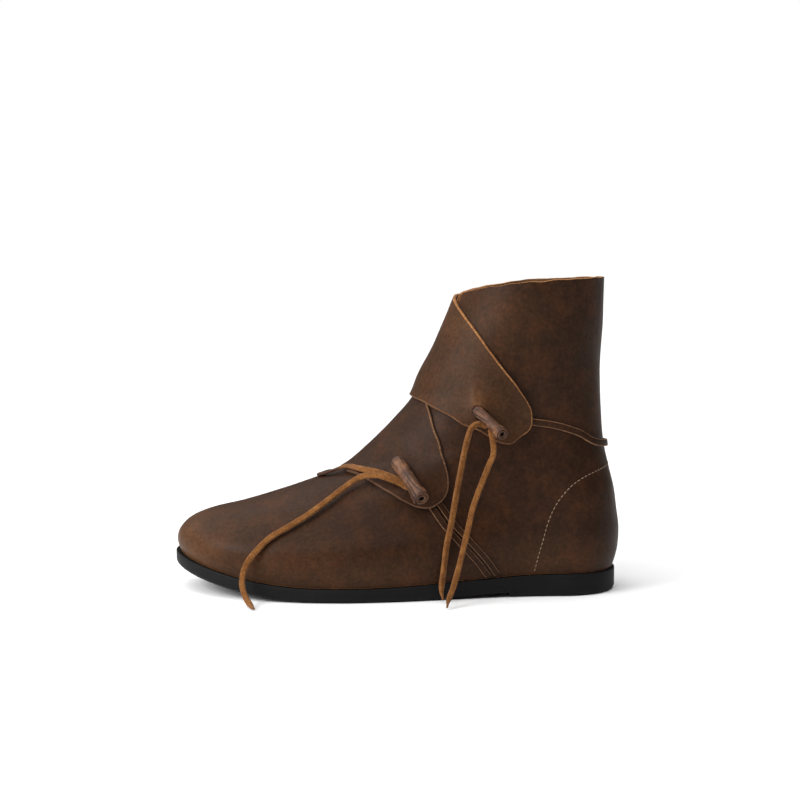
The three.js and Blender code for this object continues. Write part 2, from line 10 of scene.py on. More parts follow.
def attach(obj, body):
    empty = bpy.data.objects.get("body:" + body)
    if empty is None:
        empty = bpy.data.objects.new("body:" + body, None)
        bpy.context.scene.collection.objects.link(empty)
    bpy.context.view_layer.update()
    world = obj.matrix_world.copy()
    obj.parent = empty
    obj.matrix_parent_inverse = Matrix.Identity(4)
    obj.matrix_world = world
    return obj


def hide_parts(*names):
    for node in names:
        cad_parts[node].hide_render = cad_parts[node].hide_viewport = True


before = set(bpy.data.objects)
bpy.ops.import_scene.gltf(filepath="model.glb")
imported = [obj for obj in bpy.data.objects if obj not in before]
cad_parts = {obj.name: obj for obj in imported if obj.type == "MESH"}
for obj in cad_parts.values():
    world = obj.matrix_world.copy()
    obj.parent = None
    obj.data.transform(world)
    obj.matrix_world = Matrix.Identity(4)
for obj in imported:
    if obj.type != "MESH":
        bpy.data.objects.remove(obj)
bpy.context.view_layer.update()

MM = 0.001

# Camera: where it stands, how far it looks down, and its lens on a 36 mm sensor
CAMERA_PLACE = (0.0018, -0.9607, 0.2052)
CAMERA_LOOKS_DOWN = 5.156
CAMERA_LENS = 68.95

# Driving sizes of the foot, the sole and the leather, in millimetres
LENGTH = 280
BALL_WIDTH = 102
HEEL_WIDTH = 68
SHAFT_WIDTH = 78
INSTEP_HEIGHT = 110
SHAFT_HEIGHT = 187.4
COLLAR_BOW = 3.7
BALL_SLANT = 13
ARCH_DIP = 6
HEEL_ROUNDNESS = 2.2
FOREFOOT_THICKNESS = 8.6
HEEL_THICKNESS = 13.8
HEEL_STEP = 3
TOE_SPRING = 15
SPRING_POWER = 1.9
SOLE_EDGE = 1.6
INSOLE_THICKNESS = 3
LEATHER = 2
CLEARANCE = 0.3
SEAT = 0.5
SLIT = (-0.105, -0.063, 0.57)
THONG = (4.4, 1.6)
THONG_CORNER = 0.75
SOLE_STRAP = (3.7, 1.2)
SOLE_STRAP_CORNER = 0.58
LACE = (3.5, 2.7)
LACE_CORNER = 0.9
RIB_PITCH = 10
STITCH_PITCH = 2.9

# Toggles: where they leave the leather, as share of the length and level; radius and length; the degrees that
# they turn out and fall, how slim they are drawn for their radius, and the degrees that the knob is bent out
TOGGLES = {
    "instep_toggle": {
        "along": 0.509, "level": 0.643, "radius": 4.4, "length": 33,
        "out": 42, "fall": 53, "slim": 1, "bend": 8,
    },
    "ankle_toggle": {
        "along": 0.678, "level": 0.965, "radius": 3.9, "length": 25,
        "out": 30, "fall": 42, "slim": 0.9, "bend": 30,
    },
}

# Rings round the boot from the sole to the collar. Columns: front, front level, back, back level, widest,
# outer, inner, bend, heel, heel run, tip, foot, follow.
RING_TABLE = [
    [0.007, 0.000, 0.986, 0.000, 0.325, 0.510, 0.451, 0.069, 0.463, 0.129, 2.5, 1.00, 1.00],
    [0.000, 0.075, 0.998, 0.114, 0.325, 0.529, 0.475, 0.069, 0.500, 0.129, 2.5, 1.00, 0.82],
    [0.007, 0.149, 1.000, 0.229, 0.332, 0.515, 0.475, 0.064, 0.515, 0.129, 2.4, 1.00, 0.55],
    [0.032, 0.218, 0.995, 0.344, 0.364, 0.457, 0.447, 0.065, 0.507, 0.129, 2.0, 0.90, 0.30],
    [0.080, 0.276, 0.988, 0.478, 0.436, 0.406, 0.411, 0.062, 0.489, 0.129, 1.5, 0.75, 0.12],
    [0.154, 0.331, 0.977, 0.602, 0.514, 0.400, 0.406, 0.065, 0.472, 0.136, 0.9, 0.60, 0.04],
    [0.239, 0.402, 0.966, 0.726, 0.586, 0.408, 0.411, 0.062, 0.456, 0.143, 0.9, 0.45, 0.00],
    [0.316, 0.476, 0.960, 0.841, 0.643, 0.423, 0.423, 0.059, 0.440, 0.150, 1.1, 0.30, 0.00],
    [0.379, 0.540, 0.957, 0.946, 0.686, 0.429, 0.429, 0.048, 0.434, 0.157, 1.2, 0.20, 0.00],
    [0.439, 0.682, 0.955, 1.070, 0.714, 0.442, 0.442, 0.037, 0.435, 0.164, 1.3, 0.10, 0.00],
    [0.496, 0.851, 0.954, 1.212, 0.736, 0.455, 0.455, 0.026, 0.442, 0.171, 1.4, 0.00, 0.00],
    [0.539, 1.005, 0.954, 1.367, 0.750, 0.459, 0.459, 0.013, 0.455, 0.171, 1.3, 0.00, 0.00],
    [0.564, 1.225, 0.956, 1.522, 0.768, 0.468, 0.468, 0.000, 0.468, 0.164, 1.2, 0.00, 0.00],
    [0.593, 1.470, 0.959, 1.690, 0.782, 0.481, 0.481, 0.000, 0.481, 0.161, 1.1, 0.00, 0.00],
    [0.636, 1.850, 0.961, 2.000, 0.800, 0.500, 0.500, 0.000, 0.500, 0.157, 1.0, 0.00, 0.00],
]


def lerp(a, b, t):
    return a + (b - a) * t


def ramp(value, start, end):
    t = np.clip((np.asarray(value, float) - start) / (end - start), 0, 1)
    return t * t * (3 - 2 * t)


def bell(value, width):
    return np.exp(-((value / width) ** 2))


def along_x(share):
    return (np.asarray(share, float) - 0.5) * LENGTH


def level_z(level):
    level = np.asarray(level, float)
    shaft = SHAFT_HEIGHT - INSTEP_HEIGHT
    return FOREFOOT_THICKNESS + np.where(level <= 1, level * INSTEP_HEIGHT, INSTEP_HEIGHT + (level - 1) * shaft)


FLAT_FROM = along_x(0.34)
ARCH_FROM = along_x(0.53)
HEEL_BREAST = along_x(0.746)


def sole_bottom(x):
    reach = np.clip((FLAT_FROM - x) / (FLAT_FROM + LENGTH / 2), 0, 1)
    return TOE_SPRING * reach**SPRING_POWER


def sole_top(x):
    return sole_bottom(x) + lerp(FOREFOOT_THICKNESS, HEEL_THICKNESS, ramp(x, along_x(0.42), along_x(0.88)))


TOE_SEAT = sole_top(along_x(RING_TABLE[0][0])) + CLEARANCE
HEEL_SEAT = sole_top(along_x(RING_TABLE[0][2])) + CLEARANCE


def ring_from_row(row):
    front, front_level, back, back_level, widest, outer, inner, bend, heel, heel_run, tip, foot, follow = row
    foot_width = lerp(SHAFT_WIDTH, BALL_WIDTH, foot)
    heel_width = lerp(SHAFT_WIDTH, HEEL_WIDTH, foot)
    front_z = lerp(TOE_SEAT, level_z(1), front_level) if front_level <= 1 else level_z(front_level)
    back_z = lerp(HEEL_SEAT, level_z(1), back_level) if back_level <= 1 else level_z(back_level)
    ends = [along_x(front), front_z, along_x(back), back_z, along_x(widest)]
    widths = [outer * foot_width, inner * foot_width, bend * foot_width, heel * heel_width]
    return [float(value) for value in [*ends, *widths, heel_run * LENGTH, tip, foot, follow]]


# About how many millimetres of leather a step of 1 in u and in v stands for
UNROLLED = np.array([120, 190])
RINGS = np.array([ring_from_row(row) for row in RING_TABLE])
LAST_RING = len(RINGS) - 1


def rings_at(v):
    place = np.asarray(v, float) * LAST_RING
    i = np.clip(np.floor(place).astype(int), 0, LAST_RING - 1)
    t = (place - i)[..., None]
    a, b, c, d = RINGS[np.maximum(0, i - 1)], RINGS[i], RINGS[i + 1], RINGS[np.minimum(LAST_RING, i + 2)]
    slope_in, slope_out = (c - a) / 2, (d - b) / 2
    square = 3 * (c - b) - 2 * slope_in - slope_out
    cube = slope_in + slope_out - 2 * (c - b)
    return np.moveaxis(b + t * (slope_in + t * (square + t * cube)), -1, 0)


def rounded_end(t, roundness):
    t = np.clip(t, 0, 1)
    return np.sqrt(np.maximum(0, roundness * t * (1 - t) ** 2 + t * t * (3 - 2 * t)))


def ring_height(front_z, back_z, follow, v, s):
    x = lerp(RINGS[0][0], RINGS[0][2], s)
    sag = sole_top(x) + CLEARANCE - lerp(TOE_SEAT, HEEL_SEAT, s)
    bow = COLLAR_BOW * ramp(v, 0.8, 1) * np.sin(np.pi * s**0.6)
    return lerp(front_z, back_z, s) + follow * sag + bow


def surface(u, v):
    """Points of the upper's outside, in millimetres. u goes round the boot: 0 in front, -0.5 on the outer side,
    0.5 on the inner side, -1 or 1 at the back. v is 0 on the sole and 1 at the collar."""
    u, v = np.broadcast_arrays(np.asarray(u, float), np.asarray(v, float))
    turn = u - 2 * np.round(u / 2)
    side = np.where(turn < 0, -1.0, 1.0)
    s = (1 - np.cos(np.pi * np.abs(turn))) / 2
    front_x, front_z, back_x, back_z, widest, outer, inner, bend, heel, run, tip, foot, follow = rings_at(v)
    x = lerp(front_x, back_x, s)
    widest = widest - side * BALL_SLANT * foot
    half = np.where(side < 0, outer, inner)
    t = np.clip((x - front_x) / (widest - front_x), 0, 1)
    ahead = bend * (1 - t) ** 2 + side * half * rounded_end(t, tip)
    to_heel = ramp(x, widest, back_x - run)
    dip = np.where(side > 0, ARCH_DIP * foot * np.sin(np.pi * to_heel) ** 2, 0)
    behind = side * (lerp(half, heel, to_heel) - dip) * rounded_end((back_x - x) / run, HEEL_ROUNDNESS)
    y = np.where(x < widest, ahead, behind)
    return np.stack([x, y, ring_height(front_z, back_z, follow, v, s)], -1)


def normals(u, v):
    step = 1e-3
    along = surface(u + step, v) - surface(u - step, v)
    up = surface(u, v + step) - surface(u, v - step)
    out = np.cross(up, along)
    return out / np.linalg.norm(out, axis=-1, keepdims=True)


def locate(side, x, z):
    """u and v of the points that the side view shows at x and z, on the outer (-1) or the inner side (1)."""
    x, z = np.broadcast_arrays(np.asarray(x, float), np.asarray(z, float))
    low, high = np.zeros(x.shape), np.ones(x.shape)
    for _ in range(40):
        v = (low + high) / 2
        ring = rings_at(v)
        s = (x - ring[0]) / (ring[2] - ring[0])
        above = (s < 0) | (ring_height(ring[1], ring[3], ring[12], v, np.clip(s, 0, 1)) > z)
        high, low = np.where(above, v, high), np.where(above, low, v)
    return side * np.arccos(1 - 2 * np.clip(s, 0, 1)) / np.pi, low


def waviness(points, size, seed):
    """Smooth noise from about -1 to 1, with waves of the given size in millimetres."""
    shift = Vector((seed, -seed, 0.5 * seed))
    flat = points.reshape(-1, 3) / size
    return np.array([noise.noise(Vector(p) + shift) for p in flat]).reshape(points.shape[:-1])


def hand_relief(points):
    """How far worn leather stands off its smooth shape: the same for every layer, so that they stay apart."""
    return 0.75 * waviness(points, 46, 3.0) + 0.22 * waviness(points, 17, 11.0)


def lifted(u, v, height):
    base = surface(u, v)
    calm = ramp(v, 0.02, 0.14) * (1 - 0.6 * ramp(v, 0.93, 1.0))
    return base + normals(u, v) * (height + calm * hand_relief(base))[..., None]


def smooth_line(points, step):
    """Points at even steps along a smooth curve through the given ones."""
    points = np.asarray(points, float)
    padded = np.vstack([2 * points[0] - points[1], points, 2 * points[-1] - points[-2]])
    out = []
    for a, b, c, d in zip(padded, padded[1:], padded[2:], padded[3:]):
        pairs = ((a, b), (b, c), (c, d))
        knots = np.cumsum([0, *[max(1e-6, np.linalg.norm(q - p)) ** 0.5 for p, q in pairs]])
        for t in np.linspace(knots[1], knots[2], 24, endpoint=False):
            ab, bc, cd = (lerp(p, q, share) for (p, q), share in zip(pairs, (t - knots[:3]) / np.diff(knots)))
            left = lerp(ab, bc, (t - knots[0]) / (knots[2] - knots[0]))
            right = lerp(bc, cd, (t - knots[1]) / (knots[3] - knots[1]))
            out.append(lerp(left, right, (t - knots[1]) / (knots[2] - knots[1])))
    return evenly([*out, points[-1]], step)


def evenly(points, step, measured=None):
    """Points evenly along a line, or along measured. A whole number for step is the number of points."""
    points = np.asarray(points, float)
    lengths = np.linalg.norm(np.diff(points if measured is None else measured, axis=0), axis=1)
    run = np.concatenate([[0], np.cumsum(lengths)])
    count = step if isinstance(step, int) else max(2, round(run[-1] / step) + 1)
    places = np.linspace(0, run[-1], count)
    return np.stack([np.interp(places, run, points[:, k]) for k in range(points.shape[1])], -1)


# Making pieces
def activate(piece):
    bpy.ops.object.select_all(action="DESELECT")
    piece.select_set(True)
    bpy.context.view_layer.objects.active = piece


def set_points(piece, points):
    piece.data.vertices.foreach_set("co", (np.asarray(points, float) * MM).astype(np.float32).ravel())
    piece.data.update()


def get_points(piece):
    flat = np.empty(len(piece.data.vertices) * 3, np.float32)
    piece.data.vertices.foreach_get("co", flat)
    return flat.reshape(-1, 3).astype(float) / MM


def set_attribute(piece, name, values):
    """One number for each point of the mesh, which its material can read."""
    held = np.asarray(values, np.float32)
    piece.data.attributes.new(name, "FLOAT", "POINT").data.foreach_set("value", held)


def sheet(name, places, attributes=()):
    """A grid whose point in row j and column i is put at places[j, i], in millimetres."""
    rows, columns = places.shape[:2]
    bpy.ops.mesh.primitive_grid_add(x_subdivisions=columns - 1, y_subdivisions=rows - 1, size=1)
    piece = bpy.context.object
    piece.name = piece.data.name = name
    flat = get_points(piece)
    order = np.lexsort((flat[:, 0].round(3), flat[:, 1].round(3)))
    points = np.empty_like(flat)
    points[order] = places.reshape(-1, 3)
    set_points(piece, points)
    for attribute, values in attributes:
        held = np.empty(len(points), np.float32)
        held[order] = values.reshape(-1)
        set_attribute(piece, attribute, held)
    return piece


def edit_mesh(piece, operator, **settings):
    """Runs an edit-mode operator on the whole mesh."""
    activate(piece)
    bpy.ops.object.mode_set(mode="EDIT")
    bpy.ops.mesh.select_all(action="SELECT")
    operator(**settings)
    bpy.ops.object.mode_set(mode="OBJECT")


def merge_doubles(piece, distance=0.01):
    edit_mesh(piece, bpy.ops.mesh.remove_doubles, threshold=distance * MM)


def face_outwards(piece):
    edit_mesh(piece, bpy.ops.mesh.normals_make_consistent, inside=False)


def apply_modifier(piece, kind, **settings):
    activate(piece)
    bpy.ops.object.modifier_add(type=kind)
    modifier = piece.modifiers[-1]
    for key, value in settings.items():
        setattr(modifier, key, value)
    bpy.ops.object.modifier_apply(modifier=modifier.name)


def shade(piece, angle=50):
    activate(piece)
    bpy.ops.object.shade_smooth_by_angle(angle=np.radians(angle))


def add_materials(piece, *materials):
    for material in materials:
        piece.data.materials.append(material)


def register(piece, slot, *nodes):
    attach(piece, "root")
    if nodes:
        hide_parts(*nodes)


# Materials
def linear(hex_colour):
    channels = [int(hex_colour[i : i + 2], 16) / 255 for i in (1, 3, 5)]
    return [c / 12.92 if c <= 0.04045 else ((c + 0.055) / 1.055) ** 2.4 for c in channels] + [1.0]


def set_inputs(tree, node, inputs):
    """Sets each of the named sockets to a value or to another node's output."""
    for key, value in inputs.items():
        if isinstance(value, bpy.types.NodeSocket):
            tree.links.new(value, node.inputs[key])
        else:
            node.inputs[key].default_value = value


def add_node(tree, kind, inputs=None, **settings):
    node = tree.nodes.new(kind)
    for key, value in settings.items():
        setattr(node, key, value)
    set_inputs(tree, node, inputs or {})
    return node


def colour_ramp(tree, factor, stops):
    node = add_node(tree, "ShaderNodeValToRGB", {"Fac": factor})
    for k, (place, hex_colour) in enumerate(stops):
        stop = node.color_ramp.elements[k] if k < 2 else node.color_ramp.elements.new(place)
        stop.position = place
        stop.color = linear(hex_colour)
    return node.outputs["Color"]


def new_material(name):
    material = bpy.data.materials.new(name)
    material.use_nodes = True
    tree = material.node_tree
    return material, tree, tree.nodes["Principled BSDF"], add_node(tree, "ShaderNodeTexCoord").outputs["Object"]


def noise_texture(tree, place, size_mm, detail, roughness):
    """Noise with patches of about the given size."""
    inputs = {"Vector": place, "Scale": 1 / (size_mm * MM), "Detail": detail, "Roughness": roughness}
    return add_node(tree, "ShaderNodeTexNoise", inputs).outputs["Fac"]


def spread(tree, value, start, end, low, high):
    """A value with its range from start to end taken to the range from low to high."""
    return add_node(tree, "ShaderNodeMapRange", {"Value": value, 1: start, 2: end, 3: low, 4: high}).outputs[0]


def calculate(tree, operation, *values):
    return add_node(tree, "ShaderNodeMath", dict(enumerate(values)), operation=operation).outputs[0]


def mix(tree, factor, first, second, blend="MIX"):
    inputs = {"Factor": factor, "A": first, "B": second}
    return add_node(tree, "ShaderNodeMix", inputs, data_type="RGBA", blend_type=blend).outputs["Result"]


def bump(tree, height, strength, depth_mm, **under):
    inputs = {"Height": height, "Strength": strength, "Distance": depth_mm * MM, **under}
    return add_node(tree, "ShaderNodeBump", inputs).outputs[0]


def painted(tree, name):
    return add_node(tree, "ShaderNodeAttribute", attribute_name=name).outputs["Fac"]


def oiled_leather(name):
    """Oiled pull-up cowhide: a matt waxy skin, near black where it is oily, red-brown where it is worn and
    stretched, and lighter where light is painted in, as on the toe and the ankle flap.
    """
    material, tree, shader, place = new_material(name)
    cloud = noise_texture(tree, place, 34, 5.0, 0.58)
    smudge = noise_texture(tree, place, 6.5, 4.0, 0.6)
    rust = noise_texture(tree, place, 17, 6.0, 0.68)
    fibre = noise_texture(tree, place, 2.2, 6.0, 0.65)
    dents = noise_texture(tree, place, 13, 3.0, 0.5)
    broad = spread(tree, cloud, 0.34, 0.68, 0.0, 0.15)
    small = spread(tree, smudge, 0.3, 0.7, -0.07, 0.07)
    # Lightness: worn and stretched spots, painted light on the toe and the ankle flap, and random tone
    wear_and_light_tone = calculate(tree, "ADD", painted(tree, "wear_and_painted_light"), calculate(tree, "ADD", broad, small))
    browns = [(0.0, "#29190f"), (0.35, "#352214"), (0.65, "#442d1c"), (1.0, "#593c26")]
    brown = colour_ramp(tree, wear_and_light_tone, browns)
    mottled = mix(tree, spread(tree, rust, 0.45, 0.75, 0.0, 0.45), brown, linear("#4a2814"))
    colour = mix(tree, 1.0, mottled, spread(tree, fibre, 0.3, 0.7, 0.7, 1.3), "MULTIPLY")
    # The hair pores are about 0.3 mm apart and too fine to show, so the grain is drawn at about 1 mm
    pores = add_node(tree, "ShaderNodeTexVoronoi", {"Vector": place, "Scale": 1 / 0.0011, "Randomness": 1.0})
    grain = calculate(tree, "MULTIPLY_ADD", pores.outputs["Distance"], 0.35, fibre)
    skin = bump(tree, grain, 0.35, 0.25)
    dented = bump(tree, dents, 0.3, 1.2, Normal=skin)
    gloss = spread(tree, smudge, 0.25, 0.75, 0.4, 0.54)
    # Wax and pores swallow most of the gloss, so the level is well below that of a smooth coat
    coat = {"Base Color": colour, "Roughness": gloss, "Normal": dented, "IOR": 1.46, "Specular IOR Level": 0.09}
    set_inputs(tree, shader, coat)
    return material


def rolled_leather():
    """The same leather rolled tight: red-brown where it is stretched round, with painted shade in its creases.
    """
    material, tree, shader, place = new_material("rolled leather")
    cloud = noise_texture(tree, place, 5, 5.0, 0.6)
    fibre = noise_texture(tree, place, 1.2, 5.0, 0.65)
    stretched = colour_ramp(tree, cloud, [(0.3, "#38241a"), (0.52, "#5a3b28"), (0.75, "#7c553b")])
    # Painted shade: near black in the creases, in the knob's coil and hole, and at the end hidden in the
    # leather
    colour = mix(tree, painted(tree, "painted_crease_shade"), stretched, linear("#120a06"))
    skin = bump(tree, fibre, 0.5, 0.3)
    coat = {"Base Color": colour, "Roughness": 0.5, "Normal": skin, "IOR": 1.46, "Specular IOR Level": 0.25}
    set_inputs(tree, shader, coat)
    return material


def fibrous(name, dark, middle, light, fleck_mm, roughness, depth_mm):
    """The bare fibres of leather: cut edges, flesh side and suede. Matt, with flecks and a short loose nap, and
    dark brown where "grain" says so: on the grain side of a thong, and as painted shade on a flap's lower cut
    edge."""
    material, tree, shader, place = new_material(name)
    fleck = noise_texture(tree, place, fleck_mm, 5.0, 0.7)
    cloud = noise_texture(tree, place, 7 * fleck_mm, 3.0, 0.5)
    tone = calculate(tree, "MULTIPLY_ADD", cloud, 0.45, fleck)
    bare = colour_ramp(tree, tone, [(0.5, dark), (0.72, middle), (0.95, light)])
    # Dark brown for the grain side of a thong, and painted shade on the lower cut edges of the flaps
    colour = mix(tree, painted(tree, "grain"), bare, linear("#3f261a"))
    nap = {"Roughness": roughness, "Normal": bump(tree, fleck, 0.8, depth_mm), "Sheen Weight": 0.08}
    set_inputs(tree, shader, {"Base Color": colour, "IOR": 1.4, "Specular IOR Level": 0.15, **nap})
    return material


def moulded_rubber():
    """Black rubber, moulded: matt and slightly dusty, with a fine orange-peel skin and ribs across below."""
    material, tree, shader, place = new_material("moulded rubber")
    skin = noise_texture(tree, place, 0.9, 3.0, 0.55)
    dust = noise_texture(tree, place, 20, 5.0, 0.6)
    colour = colour_ramp(tree, dust, [(0.35, "#090808"), (0.75, "#0f0e0e")])
    # A wave texture of scale 1 repeats every 2 pi / 20
    waves = {"Vector": place, "Scale": 2 * np.pi / 20 / (RIB_PITCH * MM), "Distortion": 0.0, "Detail": 0.0}
    ribs = add_node(tree, "ShaderNodeTexWave", waves, bands_direction="X")
    tread = calculate(tree, "MULTIPLY", ribs.outputs["Fac"], painted(tree, "under"))
    ribbed = bump(tree, tread, 0.9, 1.2, Normal=bump(tree, skin, 0.25, 0.2))
    coat = {"Base Color": colour, "Roughness": 0.62, "Normal": ribbed, "IOR": 1.5, "Specular IOR Level": 0.15}
    set_inputs(tree, shader, coat)
    return material


# Camera first, then the thong ends that hang free
bpy.ops.object.camera_add(location=CAMERA_PLACE, rotation=(np.radians(90 - CAMERA_LOOKS_DOWN), 0, 0))
camera = bpy.context.object
camera.data.lens = CAMERA_LENS
camera.data.sensor_width = 36
bpy.context.scene.camera = camera

# The first point of each route is hidden behind the toggle
CORD_ROUTES = {
    "instep_thong_end": [
        [6.6, -40, 68.4], [0.9, -38.9, 71.6], [-4.5, -39.1, 73.8], [-10.7, -37.1, 75.6],
        [-15.7, -35.4, 75.7], [-21.2, -32.6, 74.6], [-27.4, -29.6, 70.9], [-33, -29.9, 66.9],
        [-42.6, -33.5, 59.8], [-53.4, -38, 52.3], [-65.3, -42.3, 45.4], [-75.4, -45.4, 39.9],
        [-80.1, -47.6, 36.3], [-84.2, -49.6, 32.2], [-87.7, -51, 28.2], [-90.3, -52, 24.5],
        [-92.6, -53, 17.8], [-92.9, -55, 12.2], [-90.4, -60, 5.5], [-86.2, -68, 1.9], [-84.3, -73, 1.8],
    ],
    "ankle_thong_end_front": [
        [54.2, -41.8, 106.2], [49.7, -42.3, 107.8], [47, -44, 107.4], [44.5, -45.2, 105.2],
        [42.7, -45.8, 100.2], [40.6, -46, 91.4], [38.4, -46.5, 80], [36.6, -46.5, 70.3], [34.5, -47, 58.3],
        [32.4, -47, 46.2], [29.9, -47.5, 34.2], [28.5, -48, 22.2], [27.3, -48.3, 12.6], [26.9, -48.8, 6.7],
        [27.9, -49.5, 1.8],
    ],
    "ankle_thong_end_rear": [
        [56.3, -44.2, 104.3], [57.2, -46.7, 99.9], [58, -47.5, 93.5], [57.6, -47.8, 89], [55.6, -48, 84.4],
        [52, -48.5, 75.5], [48.6, -49, 66.5], [45.5, -49.5, 57.5], [43.5, -50, 48.6], [41.3, -51, 39.1],
        [38.8, -52.5, 29.1], [36.3, -55, 19.7], [33.8, -58.5, 11.7], [30.6, -65, 4.8], [29.7, -69.5, 1.8],
    ],
}


def band_section(width, thickness, corner):
    """A rounded oblong, as across and out pairs, once round. Out is away from the leather."""
    points = []
    for sign_x, sign_y, start in ((1, 1, 0), (-1, 1, 90), (-1, -1, 180), (1, -1, 270)):
        for angle in np.radians(np.linspace(start, start + 90, 6)):
            centre = (sign_x * (width / 2 - corner), sign_y * (thickness / 2 - corner))
            points.append((centre[0] + corner * np.cos(angle), centre[1] + corner * np.sin(angle)))
    return np.array(points)


def band(name, line, outs, section, sizes=None, turns=None):
    """Sweeps a section along a line. outs point away from the leather. sizes scale it and turns twist it."""
    ahead = np.gradient(line, axis=0)
    ahead /= np.linalg.norm(ahead, axis=1, keepdims=True)
    across = np.cross(ahead, outs)
    across /= np.linalg.norm(across, axis=1, keepdims=True)
    out = np.cross(across, ahead)
    sizes = np.ones((len(line), 2)) if sizes is None else sizes
    turns = np.zeros(len(line)) if turns is None else turns
    c, s = np.cos(turns)[:, None], np.sin(turns)[:, None]
    side = section[None, :, 0] * sizes[:, :1]
    lift = section[None, :, 1] * sizes[:, 1:]
    flat, high = side * c - lift * s, side * s + lift * c
    rings = line[:, None] + across[:, None] * flat[..., None] + out[:, None] * high[..., None]
    ends = [np.repeat(ring.mean(0)[None, None], len(ring), 1) for ring in (rings[0], rings[-1])]
    rings = np.concatenate([ends[0], rings, ends[1]])
    piece = sheet(name, np.concatenate([rings, rings[:, :1]], axis=1))
    merge_doubles(piece)
    face_outwards(piece)
    return piece


def steady_outs(line, start):
    """Directions square to the line, carried along it without twist."""
    outs, out = [], np.array(start, float)
    for ahead in np.gradient(line, axis=0):
        ahead = ahead / np.linalg.norm(ahead)
        out = out - ahead * np.dot(out, ahead)
        out /= np.linalg.norm(out)
        outs.append(out)
    return np.array(outs)


LINE_STEP = 0.8
suede = fibrous("suede thong", "#523016", "#6c4420", "#8e6034", 0.8, 0.92, 0.4)

for cord_name, route in CORD_ROUTES.items():
    line = smooth_line(route, LINE_STEP)
    to_tip = np.arange(len(line))[::-1] * LINE_STEP
    taper = 0.3 + 0.7 * ramp(to_tip, 0, 9)
    ragged = 1 + 0.08 * waviness(line, 2.6, 5.0) + 0.07 * waviness(line, 9, 7.0)
    sizes = np.stack([taper * ragged, lerp(1, taper, 0.6) * (2 - ragged)], -1)
    turns = 0.5 * waviness(line, 40, 2.0) + 0.3 * waviness(line, 15, 9.0)
    outs = steady_outs(line, (0, -1, 0))
    piece = band("suede_" + cord_name, line, outs, band_section(*LACE, LACE_CORNER), sizes, turns)
    shade(piece, 60)
    add_materials(piece, suede)
    register(piece, "suede_thong", cord_name)

leather = oiled_leather("oiled pull-up leather")
cut_edge = fibrous("cut leather edge", "#5e3b20", "#8f5f36", "#b5854f", 1.2, 0.85, 0.2)
# A darker cut edge, used on the instep flap and the straps
darker_edge = fibrous("darker leather edge", "#47301f", "#6a4a33", "#8a6749", 1.2, 0.8, 0.15)
flesh_side = fibrous("flesh side of the leather", "#4a3323", "#6b4c34", "#80603f", 1.4, 0.95, 0.3)
sock_leather = fibrous("sock leather", "#6f5238", "#8a6a48", "#9b7a56", 1.6, 0.8, 0.1)
rubber = moulded_rubber()


# Sole and insole: cross-sections from toe to heel, straight across at the top and below
def slab(name, layers, rows, across, breast=False, toe_rim=0):
    """layers go up the side: reach out from the upper's edge, and height as a function of x. toe_rim adds reach
    at the toe, and breast moves two rows close together where the heel steps down."""
    turn = np.linspace(0, 1, rows)
    if breast:
        share = (HEEL_BREAST - RINGS[0][0]) / (RINGS[0][2] - RINGS[0][0])
        at = np.arccos(1 - 2 * share) / np.pi
        nearest = int(np.argmin(np.abs(turn - at)))
        turn[nearest : nearest + 2] = at - 0.0015, at + 0.0015
        turn = np.sort(turn)
    rings = []
    for side in (-1, 1):
        u = side * turn
        edge = surface(u, 0)
        ahead = surface(u + 1e-3, 0) - surface(u - 1e-3, 0)
        ahead[:, 2] = 0
        ahead /= np.linalg.norm(ahead, axis=1, keepdims=True)
        column = []
        for reach, height in layers:
            reach = reach + toe_rim * ramp(-edge[:, 0], 100, 138)
            x = edge[:, 0] - ahead[:, 1] * reach
            y = edge[:, 1] + ahead[:, 0] * reach
            column.append(np.stack([x, y, height(x)], -1))
        rings.append(np.stack(column, 1))
    outer, inner = rings
    fill = np.linspace(0, 1, across + 2)[1:-1]

    def straight(a, b, height):
        points = a[:, None] + (b - a)[:, None] * fill[None, :, None]
        points[..., 2] = height(points[..., 0])
        return points

    top = straight(outer[:, -1], inner[:, -1], layers[-1][1])
    below = straight(inner[:, 0], outer[:, 0], layers[0][1])
    loop = np.concatenate([outer, top, inner[:, ::-1], below, outer[:, :1]], 1)
    under = np.zeros(loop.shape[:2])
    under[:, -across - 1 : -1] = 1
    piece = sheet(name, loop, [("under", under)])
    merge_doubles(piece)
    face_outwards(piece)
    return piece


def tread_height(x):
    arch = HEEL_STEP * ramp(x, ARCH_FROM, HEEL_BREAST) * (x < HEEL_BREAST)
    return sole_bottom(x) + arch


LOWER_ROUND, UPPER_ROUND = 3.2, 0.7
sole_layers = [(SOLE_EDGE - LOWER_ROUND, tread_height)]
for k in range(1, 7):
    angle = k / 6 * np.pi / 2
    rise = LOWER_ROUND * (1 - np.cos(angle))
    reach = SOLE_EDGE - LOWER_ROUND * (1 - np.sin(angle)) ** 1.2
    sole_layers.append((reach, lambda x, rise=rise: np.maximum(tread_height(x) + 0.02, sole_bottom(x) + rise)))
sole_layers.append((SOLE_EDGE, lambda x: lerp(sole_bottom(x), sole_top(x), 0.6)))
for k in range(0, 4):
    angle = k / 3 * np.pi / 2
    reach = SOLE_EDGE - UPPER_ROUND * (1 - np.cos(angle))
    rise = UPPER_ROUND * (1 - np.sin(angle))
    sole_layers.append((reach, lambda x, rise=rise: sole_top(x) - rise))

outsole = slab("rubber_outsole", sole_layers, 190, 26, breast=True, toe_rim=1.2)
shade(outsole, 35)
add_materials(outsole, rubber)
register(outsole, "sole_rubber", "outsole")

insole_reach = -LEATHER - 3 * CLEARANCE
insole_top = CLEARANCE + INSOLE_THICKNESS
insole_rows = [(0, CLEARANCE), (0, insole_top - 0.6), (0.2, insole_top - 0.2), (0.6, insole_top)]
insole_layers = [(insole_reach - inset, lambda x, rise=rise: sole_top(x) + rise) for inset, rise in insole_rows]
insole = slab("leather_sock", insole_layers, 120, 24)
shade(insole, 50)
add_materials(insole, sock_leather)
register(insole, "sock_leather", "insole")
